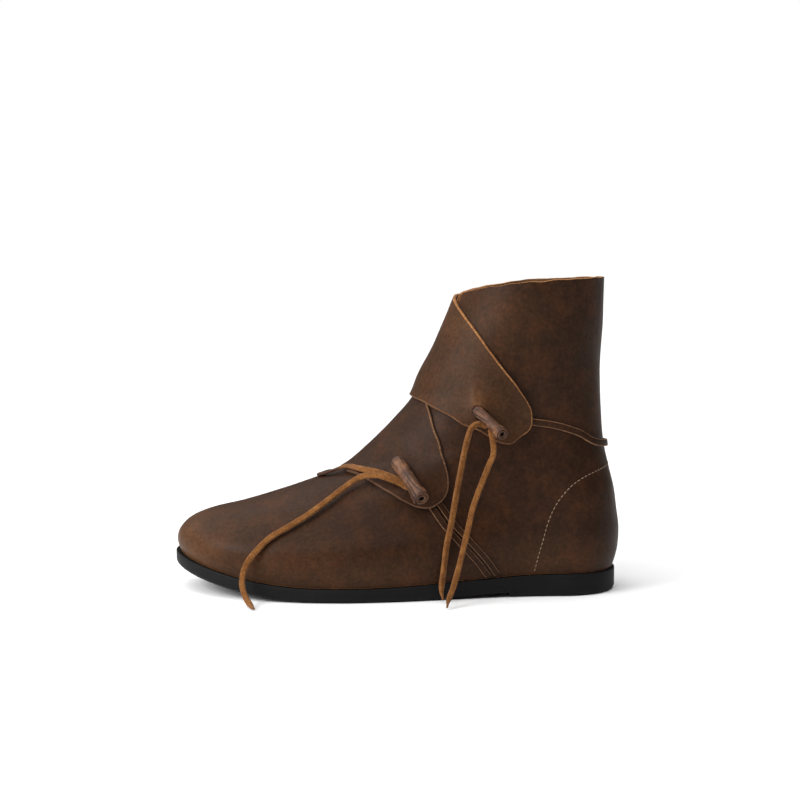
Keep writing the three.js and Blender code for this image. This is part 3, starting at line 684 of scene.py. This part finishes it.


# Upper. Where its leather turns lighter, partly worn and stretched and partly painted light, most on the toe:
# x and z, reach along them, and strength
WORN_AND_LIT_ON_BOTH_SIDES = [
    (-142, 26, 44, 34, 0.85), (-100, 52, 44, 22, 0.25), (-80, 20, 50, 16, 0.45), (-20, 16, 60, 10, 0.4),
    (95, 22, 34, 13, 0.4), (60, 172, 30, 16, 0.4),
]
WORN_BY_THE_TOGGLES = [(48.5, 123, 5, 9, 0.6), (1, 90, 9, 8, 0.2)]


# Lighter spots, partly worn leather and partly painted light
def add_wear_and_painted_light(piece, start):
    points = get_points(piece)
    worn = np.zeros(len(points))
    for spots, here in ((WORN_AND_LIT_ON_BOTH_SIDES, 1), (WORN_BY_THE_TOGGLES, points[:, 1] < 0)):
        for x, z, reach_x, reach_z, strength in spots:
            far = ((points[:, 0] - x) / reach_x) ** 2 + ((points[:, 2] - z) / reach_z) ** 2
            worn = np.maximum(worn, strength * np.exp(-far) * here)
    worn = start + worn * (0.9 + 0.35 * waviness(points, 14, 21.0))
    set_attribute(piece, "wear_and_painted_light", worn)


# A grid round the boot, with columns along both edges of the slit, whose faces are then taken out
columns = np.linspace(1, -1, 361)
for edge in SLIT[:2]:
    columns[np.argmin(np.abs(columns - edge))] = edge
rows = np.concatenate([np.linspace(0, 0.1, 24, endpoint=False), np.linspace(0.1, 1, 150)])
grid_u, grid_v = np.meshgrid(columns, rows)
# The collar was cut by hand, so it isn't quite even
hand_cut = 0.0035 * waviness(surface(grid_u, grid_v), 9, 31.0) * ramp(grid_v, 0.96, 1)
shell = sheet("leather_upper", lifted(grid_u, grid_v + hand_cut, np.zeros(grid_u.shape)))
edit_mesh(shell, bpy.ops.mesh.select_all, action="DESELECT")
face_u, face_v = ((grid[:-1, :-1] + grid[1:, 1:]) / 2 for grid in (grid_u, grid_v))
open_faces = (face_u > SLIT[0]) & (face_u < SLIT[1]) & (face_v > SLIT[2])
shell.data.polygons.foreach_set("select", open_faces.ravel())
shell.data.update()
bpy.ops.object.mode_set(mode="EDIT")
bpy.ops.mesh.select_mode(type="FACE")
bpy.ops.mesh.delete(type="FACE")
bpy.ops.mesh.select_mode(type="VERT")
bpy.ops.object.mode_set(mode="OBJECT")
merge_doubles(shell)
add_materials(shell, leather, flesh_side, cut_edge)
apply_modifier(
    shell, "SOLIDIFY", thickness=1.1 * LEATHER * MM, offset=-1, use_even_offset=False,
    material_offset=1, material_offset_rim=2,
)
apply_modifier(
    shell, "BEVEL", width=0.85 * MM, segments=3, limit_method="ANGLE", angle_limit=np.radians(55), material=2
)
shade(shell, 60)
add_wear_and_painted_light(shell, 0)
register(shell, "oiled_leather", "upper")

# Flaps: outline in the side view (share of the length, level) on the outer and the inner side. The corner
# above, the points in front and the line along the middle are given as u and v. "shaded_edge" is the lower
# edge as a line of x and z, and how much painted shade the cut edge gets along it and at the tip. Both flaps
# start at u = ROOT.
ANKLE_FLAP = {
    "outer": [
        [0.652, 1.689], [0.68, 1.547], [0.715, 1.368], [0.747, 1.214], [0.768, 1.101], [0.785, 1.012],
        [0.792, 0.958], [0.787, 0.865], [0.763, 0.82], [0.746, 0.787], [0.68, 0.857], [0.649, 0.883],
        [0.621, 0.926], [0.583, 0.967], [0.561, 0.993],
    ],
    "corner": (0.0, 0.997),
    "front": [(0.0, 0.789)],
    "inner": [[0.583, 0.967], [0.7, 0.944]],
    "top": 0.997,
    "middle": [(0.2, 0.88), (-0.1, 0.875), (-0.3, 0.83), (-0.45, 0.745), (-0.57, 0.64)],
    "shaded_edge": ([(7, 126), (48, 98), (60, 95), (80, 95)], 0.75, 0.35),
}
INSTEP_FLAP = {
    "outer": [
        [0.56, 1.1], [0.572, 0.975], [0.581, 0.888], [0.595, 0.781], [0.605, 0.68], [0.612, 0.599],
        [0.61, 0.524], [0.594, 0.46], [0.57, 0.423], [0.546, 0.427], [0.521, 0.457], [0.488, 0.501],
        [0.454, 0.545], [0.433, 0.57], [0.419, 0.585],
    ],
    "corner": (0.0, 0.826),
    "front": [(-0.135, 0.549), (0.0, 0.57)],
    "inner": [[0.45, 0.563], [0.6, 0.45]],
    "top": 0.826,
    "middle": [
        (0.2, 0.69), (-0.05, 0.69), (-0.2, 0.65), (-0.3, 0.585), (-0.4, 0.5), (-0.47, 0.41), (-0.505, 0.35),
    ],
    "shaded_edge": ([(-20, 74), (0, 62), (17, 54), (40, 54)], 0.6, 0.15),
}
ROOT = 0.2


def flap_sheet(name, flap, height, tip_lift):
    """A flap as rings that follow its cut edge, from the edge in to a line along its middle."""
    along, level = np.transpose(flap["outer"])
    outer = np.transpose(locate(-1, along_x(along), level_z(level)))
    along, level = np.transpose(flap["inner"])
    inner = np.transpose(locate(1, along_x(along), level_z(level)))
    run = np.array([flap["corner"], *outer, *flap["front"], *inner])
    scaled = smooth_line(run * UNROLLED, 0.4) / UNROLLED
    scaled = scaled[: np.argmax(scaled[:, 0] > ROOT)]
    top = np.stack([np.linspace(ROOT, 0, 40, endpoint=False), np.full(40, flap["top"])], -1)
    edge = np.vstack([top, scaled])
    edge_mm = surface(*edge.T)
    middle = smooth_line(np.array(flap["middle"]) * UNROLLED, 0.5) / UNROLLED
    heading = (middle[-1] - middle[0]) * UNROLLED
    far = int(np.argmax((edge * UNROLLED) @ heading))
    half = 190
    first = evenly(edge[: far + 1], half, edge_mm[: far + 1])
    second = evenly(edge[far:], half, edge_mm[far:])
    rim = np.vstack([first, second[1:]])
    progress = np.concatenate([np.linspace(0, 1, half), np.linspace(1, 0, half)[1:]])
    run_along = np.linspace(0, 1, len(middle))
    spine = np.stack([np.interp(progress, run_along, middle[:, k]) for k in range(2)], -1)
    # How far it is from the edge to the middle, measured over the first part of the way
    first_part = 0.02
    near = rim + (spine - rim) * first_part
    reach = np.linalg.norm(surface(*near.T) - surface(*rim.T), axis=-1) / first_part
    # Each row: how far in from the cut edge in millimetres, the further share of the way to the middle, the
    # depth below the outer skin, and its zone: 0 outer skin, 1 cut edge, 2 inner skin
    inside = [0, 0.008, 0.02, 0.035, 0.055, *np.linspace(0.08, 1, 38)]
    top_round, low_round = 0.9, 0.5
    rows = [(top_round, w, 0, 0) for w in inside[::-1]]
    for angle in np.radians([22, 45, 68, 90]):
        rows.append((top_round * (1 - np.sin(angle)), 0, top_round * (1 - np.cos(angle)), 1))
    for angle in np.radians([0, 30, 60]):
        rows.append((low_round * (1 - np.cos(angle)), 0, LEATHER - low_round * (1 - np.sin(angle)), 1))
    rows += [(low_round, w, LEATHER, 2) for w in inside]
    layers, zones = [], []
    for step_in, share, depth, zone in rows:
        inward = step_in / reach + (1 - step_in / reach) * share
        u, v = (rim + (spine - rim) * inward[:, None]).T
        base = surface(u, v)
        curl = tip_lift * (1 - ramp(inward * reach, 0, 9)) * ramp(progress, 0.45, 0.8)
        layers.append(lifted(u, v, height(u, v, base) + curl - depth))
        zones.append(np.full(len(u), float(zone)))
    piece = sheet(name, np.array(layers), [("zone", np.array(zones))])
    merge_doubles(piece, 0.0005)
    edit_mesh(piece, bpy.ops.mesh.fill_holes, sides=0)
    face_outwards(piece)
    return piece


def paint_zones(piece):
    """Material 0 on the outer skin, 1 on the inner skin and 2 on the cut edge."""
    zone = np.empty(len(piece.data.vertices), np.float32)
    piece.data.attributes["zone"].data.foreach_get("value", zone)
    for face in piece.data.polygons:
        mean = zone[list(face.vertices)].mean()
        face.material_index = 0 if mean < 0.25 else 1 if mean > 1.75 else 2


def toggle_place(toggle):
    """Where a toggle's middle line leaves the leather, and the direction that it points in."""
    u, v = (float(c) for c in locate(-1, along_x(toggle["along"]), level_z(toggle["level"])))
    fall, out = np.radians(toggle["fall"]), np.radians(toggle["out"])
    axis = np.array([np.cos(fall) * np.cos(out), -np.sin(out), -np.sin(fall) * np.cos(out)])
    foot = surface(u, v) + normals(u, v) * (toggle["radius"] + 2 * CLEARANCE)
    return foot, axis


def sink(u):
    """How far a flap has gone down into the wall of the upper, which it grows out of on the inner side."""
    return ramp(u, 0.04, 0.16)


def pull_at(base, toggle, high, reach):
    """How far the toggle pulls the leather round its hole outwards."""
    foot, _ = toggle_place(TOGGLES[toggle])
    far = np.hypot(base[..., 0] - foot[0], base[..., 2] - foot[2])
    return high * bell(far, reach)


def ankle_height(u, v, base):
    stand = CLEARANCE + (LEATHER + CLEARANCE) * (1 - ramp(base[..., 2], level_z(1.1), level_z(1.5)))
    foot, _ = toggle_place(TOGGLES["ankle_toggle"])
    # The leather is puckered above the toggle
    pucker = 0.8 * bell(base[..., 0] - foot[0] + 0.5, 2.4) * bell(base[..., 2] - foot[2] - 9, 6)
    return lerp(stand + LEATHER, -0.1, sink(u)) + pull_at(base, "ankle_toggle", 1.9, 7) + pucker


def instep_height(u, v, base):
    room = SEAT + SOLE_STRAP[1]
    stand = CLEARANCE + room * (1 - ramp(base[..., 2], level_z(0.47), level_z(0.58)))
    return lerp(stand + LEATHER, -0.1, sink(u)) + pull_at(base, "instep_toggle", 1.9, 8)


def cut_hole(piece, toggle):
    """The oval hole that a toggle comes out of, cut along the toggle with a long round-ended cutter."""
    foot, axis = toggle_place(toggle)
    radius = toggle["radius"] * toggle["slim"] + 0.5
    bpy.ops.mesh.primitive_uv_sphere_add(segments=48, ring_count=24, radius=radius * MM)
    cutter = bpy.context.object
    points = get_points(cutter)
    points[:, 2] += np.where(points[:, 2] > 0.001, 16, 0)
    turn = np.array(Vector((0, 0, 1)).rotation_difference(Vector(axis)).to_matrix())
    set_points(cutter, points @ turn.T + foot)
    apply_modifier(piece, "BOOLEAN", operation="DIFFERENCE", solver="MANIFOLD", object=cutter)
    bpy.data.objects.remove(cutter)


def paint_edge_shade(piece, line, strength, tip):
    """Painted shade on the cut edge along the flap's lower edge, a line of x and z, where it faces down, and
    less at its tip.
    """
    points = get_points(piece)
    above = points[:, 2] - np.interp(points[:, 0], *np.transpose(line))
    shaded_edge = np.maximum(strength * (1 - ramp(above, 3, 9)), tip * (1 - ramp(above, 16, 34)))
    # The "grain" value here is painted shade on the down-facing cut edge
    set_attribute(piece, "grain", shaded_edge)


def make_flap(name, flap, height, toggle, tip_lift, edge, worn):
    piece = flap_sheet(name, flap, height, tip_lift)
    add_materials(piece, leather, flesh_side, edge)
    paint_zones(piece)
    cut_hole(piece, TOGGLES[toggle])
    shade(piece, 60)
    add_wear_and_painted_light(piece, worn)
    paint_edge_shade(piece, *flap["shaded_edge"])
    register(piece, "oiled_leather", "upper")


make_flap("instep_flap", INSTEP_FLAP, instep_height, "instep_toggle", 0.4, darker_edge, 0.0)
# The ankle flap is lighter all over: painted light for the flap that faces the left softbox
make_flap("ankle_flap", ANKLE_FLAP, ankle_height, "ankle_toggle", 0.5, cut_edge, 0.34)


# Creases along a toggle: angle round it, half width in radians, and depth in millimetres
CREASES = [
    (0.4, 0.13, 0.6), (1.1, 0.09, 0.3), (2.3, 0.11, 0.4), (-0.35, 0.09, 0.35), (-0.95, 0.11, 0.55),
    (-1.45, 0.09, 0.35), (-1.95, 0.11, 0.5), (-2.6, 0.09, 0.4), (3.0, 0.09, 0.35),
]
# Creases this deep get the full painted shade
DARK_CREASE = 0.28
PROFILE_STEPS = 1200


def make_toggle(name, toggle, seed):
    """A strip of leather rolled up tight along its length, with a knob at its free end."""
    radius, length = toggle["radius"] * toggle["slim"], toggle["length"]
    bpy.ops.mesh.primitive_uv_sphere_add(segments=96, ring_count=120, radius=1)
    piece = bpy.context.object
    piece.name = piece.data.name = name
    ball = get_points(piece) * MM
    share = np.arccos(np.clip(-ball[:, 2], -1, 1)) / np.pi
    angle = np.arctan2(ball[:, 1], ball[:, 0])
    hole = 0.27 * radius
    # Radius and height, from the hidden end along the side to the middle of the free end
    profile = [(0, -radius)]
    profile += [(radius * np.sin(a), -radius * np.cos(a)) for a in np.linspace(0.3, np.pi / 2, 6)]
    profile += [(radius * w, length * h) for h, w in [(0.15, 0.97), (0.3, 0.94), (0.5, 0.91), (0.62, 0.91)]]
    profile += [(radius * w, length * h) for h, w in [(0.72, 0.95), (0.8, 1.03), (0.87, 1.12), (0.92, 1.16)]]
    profile += [(radius * 1.15, length - 1.1), (radius * 1.05, length - 0.35), (radius * 0.9, length)]
    profile += [(radius * 0.6, length - 0.1), (hole + 0.5, length - 0.3), (hole, length - 0.9)]
    profile += [(hole * 0.8, length - 2.2), (0, length - 2.6)]
    profile = evenly(profile, PROFILE_STEPS + 1)
    place = np.clip(share * PROFILE_STEPS, 0, PROFILE_STEPS)
    r, h = (np.interp(place, np.arange(PROFILE_STEPS + 1), profile[:, k]) for k in range(2))
    # The part near the hidden end, and the free end itself, have no creases
    on_side = ramp(place, 60, 170) * ramp(length - h, 0.1, 1.2)
    twist = angle + 0.018 * seed * h
    groove = 0
    for k, (start, width, depth) in enumerate(CREASES):
        drift = 0.16 * np.sin(h / (3.2 + 0.5 * k) + 2.1 * k + seed)
        fades = 0.55 + 0.45 * np.sin(h / (2.7 + 0.4 * k) + 1.3 * k)
        far = np.angle(np.exp(1j * (twist - start - drift)))
        groove = groove + depth * fades * bell(far, width)
    lap = 0.4 * (np.mod(twist - 0.4, 2 * np.pi) / (2 * np.pi))
    neck = 0.12 * bell(h - 0.74 * length, 0.9)
    r = r + on_side * (lap - groove - neck)
    centred = np.stack([r * np.cos(angle), r * np.sin(angle), h], -1)
    r = r + on_side * 0.28 * waviness(centred, 3.2, seed)
    on_end = (h > length - 1.2) & (place > 900)
    turn_of_roll = np.mod(r / (radius * 0.42) - angle / (2 * np.pi), 1)
    h = h - on_end * 0.8 * bell(turn_of_roll - 0.5, 0.12) * ramp(r, hole + 0.1, hole + 0.6)
    foot, axis = toggle_place(toggle)
    turn = np.array(Vector((0, 0, 1)).rotation_difference(Vector(axis)).to_matrix())
    # The knob end is bent out, away from the boot
    steps = np.linspace(-2 * radius, length + 2, 400)
    lean = np.radians(toggle["bend"]) * ramp(steps, 0.35 * length, length)
    stride = steps[1] - steps[0]
    run = np.stack([np.cumsum(np.sin(lean)), np.cumsum(np.cos(lean))]) * stride
    run -= [[np.interp(0, steps, run[0])], [np.interp(0, steps, run[1])]]
    aside, onward, bent = (np.interp(h, steps, values) for values in (*run, lean))
    outward = np.array([0, -1, 0]) + axis * axis[1]
    outward /= np.linalg.norm(outward)
    spoke = np.stack([r * np.cos(angle), r * np.sin(angle), 0 * r], -1) @ turn.T
    reach = spoke @ outward
    points = foot + spoke + np.outer(aside + reach * (np.cos(bent) - 1), outward)
    points += np.outer(onward - reach * np.sin(bent), axis)
    set_points(piece, points)
    # Painted shade for the creases, the coil and hole of the knob, and the end that the leather's lip shades
    coil_groove_shade = on_end * bell(turn_of_roll - 0.5, 0.17)
    depth = np.clip(on_side * groove / DARK_CREASE + coil_groove_shade, 0, 1)
    depth = np.maximum(depth, (r < hole + 0.3) & (place > 900))
    depth = np.maximum(depth, 0.85 * (1 - ramp(place, 70, 190)))
    set_attribute(piece, "painted_crease_shade", depth)
    face_outwards(piece)
    shade(piece, 80)
    return piece


rolled = rolled_leather()
for seed, (toggle_name, toggle) in enumerate(TOGGLES.items(), 1):
    piece = make_toggle("rolled_" + toggle_name, toggle, seed)
    add_materials(piece, rolled)
    register(piece, "rolled_leather", toggle_name)

# Straps that lie on the leather. A route row: side, share of the length, level, height above the leather. A
# row whose side is 0 gives u and v in place of share and level.
ANKLE_THONG_ROUTE = [
    [-1, 0.735, 0.915, SEAT], [-1, 0.765, 0.915, SEAT], [-1, 0.792, 0.907, SEAT], [-1, 0.842, 0.886, SEAT],
    [-1, 0.893, 0.842, SEAT], [-1, 0.938, 0.775, 1.1], [1, 0.94, 0.745, SEAT], [1, 0.9, 0.75, SEAT],
    [1, 0.84, 0.79, SEAT], [1, 0.77, 0.85, SEAT], [1, 0.725, 0.888, SEAT], [1, 0.712, 0.898, -0.3],
    [1, 0.7, 0.907, -1.9],
]
INSTEP_THONG_ROUTE = [
    [1, 0.56, 0.03, SEAT], [0, 0.487, 0.171, SEAT], [0, 0.433, 0.275, SEAT], [0, 0.352, 0.374, SEAT],
    [0, 0.271, 0.434, SEAT], [0, 0.189, 0.476, 0.4], [0, 0.108, 0.5, 0.2], [0, 0.04, 0.508, 0.2],
    [0, -0.015, 0.513, 0.4], [0, -0.055, 0.523, 1], [0, -0.09, 0.54, 2.1], [0, -0.13, 0.549, 3.1],
    [0, -0.175, 0.543, 3.4], [-1, 0.414, 0.6, 3.4], [-1, 0.462, 0.597, 3], [-1, 0.493, 0.579, 2.9],
    [-1, 0.514, 0.559, 2.9], [-1, 0.532, 0.541, 2.9],
]
SOLE_STRAP_ROUTES = {
    "sole_strap_front": [
        [-1, 0.567, 0.46, SEAT], [-1, 0.575, 0.434, SEAT], [-1, 0.64, 0.232, SEAT], [-1, 0.699, 0.05, SEAT],
    ],
    "sole_strap_rear": [
        [-1, 0.586, 0.474, SEAT], [-1, 0.592, 0.455, SEAT], [-1, 0.659, 0.247, SEAT], [-1, 0.718, 0.06, SEAT],
    ],
}


def route_on_leather(rows, thickness):
    """A strap's middle line, and the directions away from the leather."""
    places = [row[1:3] if row[0] == 0 else locate(row[0], along_x(row[1]), level_z(row[2])) for row in rows]
    u, v = np.array(places, float).T
    scale = np.array([*UNROLLED, 1])
    row_places = np.stack([np.unwrap(u, period=2), v, [row[3] for row in rows]], -1)
    u, v, height = (smooth_line(row_places * scale, LINE_STEP) / scale).T
    return lifted(u, v, height + thickness / 2), normals(u, v)


def paint_strap(piece, line, outs):
    """Material 0 on the side away from the boot, 1 on the cut edges and 2 on the side on the leather."""
    middles = np.empty(len(piece.data.polygons) * 3, np.float32)
    facing = np.empty(len(piece.data.polygons) * 3, np.float32)
    piece.data.polygons.foreach_get("center", middles)
    piece.data.polygons.foreach_get("normal", facing)
    middles, facing = middles.reshape(-1, 3) / MM, facing.reshape(-1, 3)
    nearest = np.array([np.argmin(((line - m) ** 2).sum(1)) for m in middles])
    lean = (facing * outs[nearest]).sum(1)
    slots = np.where(lean > 0.93, 0, np.where(lean < -0.93, 2, 1))
    piece.data.polygons.foreach_set("material_index", slots.astype(np.int32))


strap_leather = oiled_leather("strap leather")

leather_straps = [(*named_route, SOLE_STRAP, SOLE_STRAP_CORNER) for named_route in SOLE_STRAP_ROUTES.items()]
leather_straps.append(("ankle_thong", ANKLE_THONG_ROUTE, THONG, THONG_CORNER))
for strap_name, route, size, corner in leather_straps:
    line, outs = route_on_leather(route, size[1])
    piece = band("leather_" + strap_name, line, outs, band_section(*size, corner))
    add_materials(piece, strap_leather, darker_edge, flesh_side)
    register(piece, "strap_leather", strap_name)
    paint_strap(piece, line, outs)
    shade(piece, 60)

line, outs = route_on_leather(INSTEP_THONG_ROUTE, THONG[1])
piece = band("suede_instep_thong", line, outs, band_section(*THONG, THONG_CORNER))
add_materials(piece, suede)
register(piece, "suede_thong", "instep_thong")
# The dark grain side is out where the thong comes over the instep, and the suede side from there on
points = get_points(piece)
grain = 1 - ramp(points[:, 0] + 4 * waviness(points, 5, 14.0), -40, -29) * (points[:, 1] < 0)
set_attribute(piece, "grain", grain)
shade(piece, 60)

# Heel stitches: one line up the outer side, round the back and down the inner side, given as x and z
STITCH_LINE = [
    (84.2, 15.4), (86.6, 25.8), (89.2, 35.4), (91.6, 44.6), (94.8, 53), (99.8, 61.4), (107.5, 69.6),
    (116, 74.4), (126.3, 77.7),
]


def stitch_route():
    x, z = np.array(STITCH_LINE).T
    outer_u, outer_v = locate(-1, x, z)
    inner_u, inner_v = locate(1, x, z)
    back_v = float(locate(-1, RINGS[8][2] - 0.2, 79.0)[1])
    u = np.concatenate([outer_u, [-1], (inner_u - 2)[::-1]])
    v = np.concatenate([outer_v, [back_v], inner_v[::-1]])
    line = smooth_line(np.stack([u, v], -1) * UNROLLED, 0.3) / UNROLLED
    return evenly(line, STITCH_PITCH, surface(*line.T))


thread_u, thread_v = stitch_route().T
thread_line = lifted(thread_u, thread_v, np.zeros(len(thread_u)))
thread_outs = normals(thread_u, thread_v)
bpy.ops.mesh.primitive_uv_sphere_add(segments=8, ring_count=6, radius=MM)
one_stitch = bpy.context.object
copies = []
for here, there, out in zip(thread_line, thread_line[1:], thread_outs):
    ahead = Vector(there - here).normalized()
    across = ahead.cross(Vector(out)).normalized()
    turn = Matrix((ahead, across, across.cross(ahead))).transposed().to_4x4()
    stitch = one_stitch.copy()
    stitch.data = one_stitch.data.copy()
    middle = Vector(((here + there) / 2 + out * 0.08) * MM)
    stitch.data.transform(Matrix.Translation(middle) @ turn @ Matrix.Diagonal((1.1, 0.28, 0.3, 1)))
    bpy.context.collection.objects.link(stitch)
    copies.append(stitch)
bpy.data.objects.remove(one_stitch)
activate(copies[0])
for stitch in copies:
    stitch.select_set(True)
bpy.ops.object.join()
stitches = bpy.context.object
stitches.name = stitches.data.name = "heel_stitches"
thread = fibrous("waxed thread", "#665240", "#87705b", "#a28b75", 0.6, 0.7, 0.05)
shade(stitches, 60)
add_materials(stitches, thread)
register(stitches, "oiled_leather")

# Floor, backdrop and lights
bpy.ops.mesh.primitive_plane_add(size=8, location=(0, 2.4, 0))
floor = bpy.context.object
floor.name = "floor"
paper, tree, shader, _ = new_material("white paper")
set_inputs(tree, shader, {"Base Color": linear("#f6f6f6"), "Roughness": 0.9})
add_materials(floor, paper)

world = bpy.data.worlds.new("studio")
bpy.context.scene.world = world
world.use_nodes = True
sky = world.node_tree
# The room is bright on the left and dim on the right; the camera itself sees plain white
heading = add_node(sky, "ShaderNodeSeparateXYZ", {0: add_node(sky, "ShaderNodeTexCoord").outputs["Generated"]})
room = spread(sky, heading.outputs["X"], -0.9, 0.7, 0.4, 0.04)
seen = add_node(sky, "ShaderNodeLightPath").outputs["Is Camera Ray"]
backdrop = sky.nodes["Background"]
backdrop.inputs["Color"].default_value = (1, 1, 1, 1)
sky.links.new(calculate(sky, "MAXIMUM", room, seen), backdrop.inputs["Strength"])


def add_light(kind, name, place, target, **settings):
    bpy.ops.object.light_add(type=kind, location=place)
    light = bpy.context.object
    light.name = name
    light.rotation_euler = (Vector(target) - Vector(place)).to_track_quat("-Z", "Y").to_euler()
    for key, value in settings.items():
        setattr(light.data, key, value)


add_light("SUN", "overhead", (-0.5, -0.1, 2.0), (0, 0, 0), energy=3.5, angle=np.radians(100))
add_light("AREA", "left softbox", (-1.1, -0.7, 0.75), (0, 0, 0.1), shape="DISK", size=0.8, energy=17)
bpy.context.scene.view_settings.view_transform = "Standard"
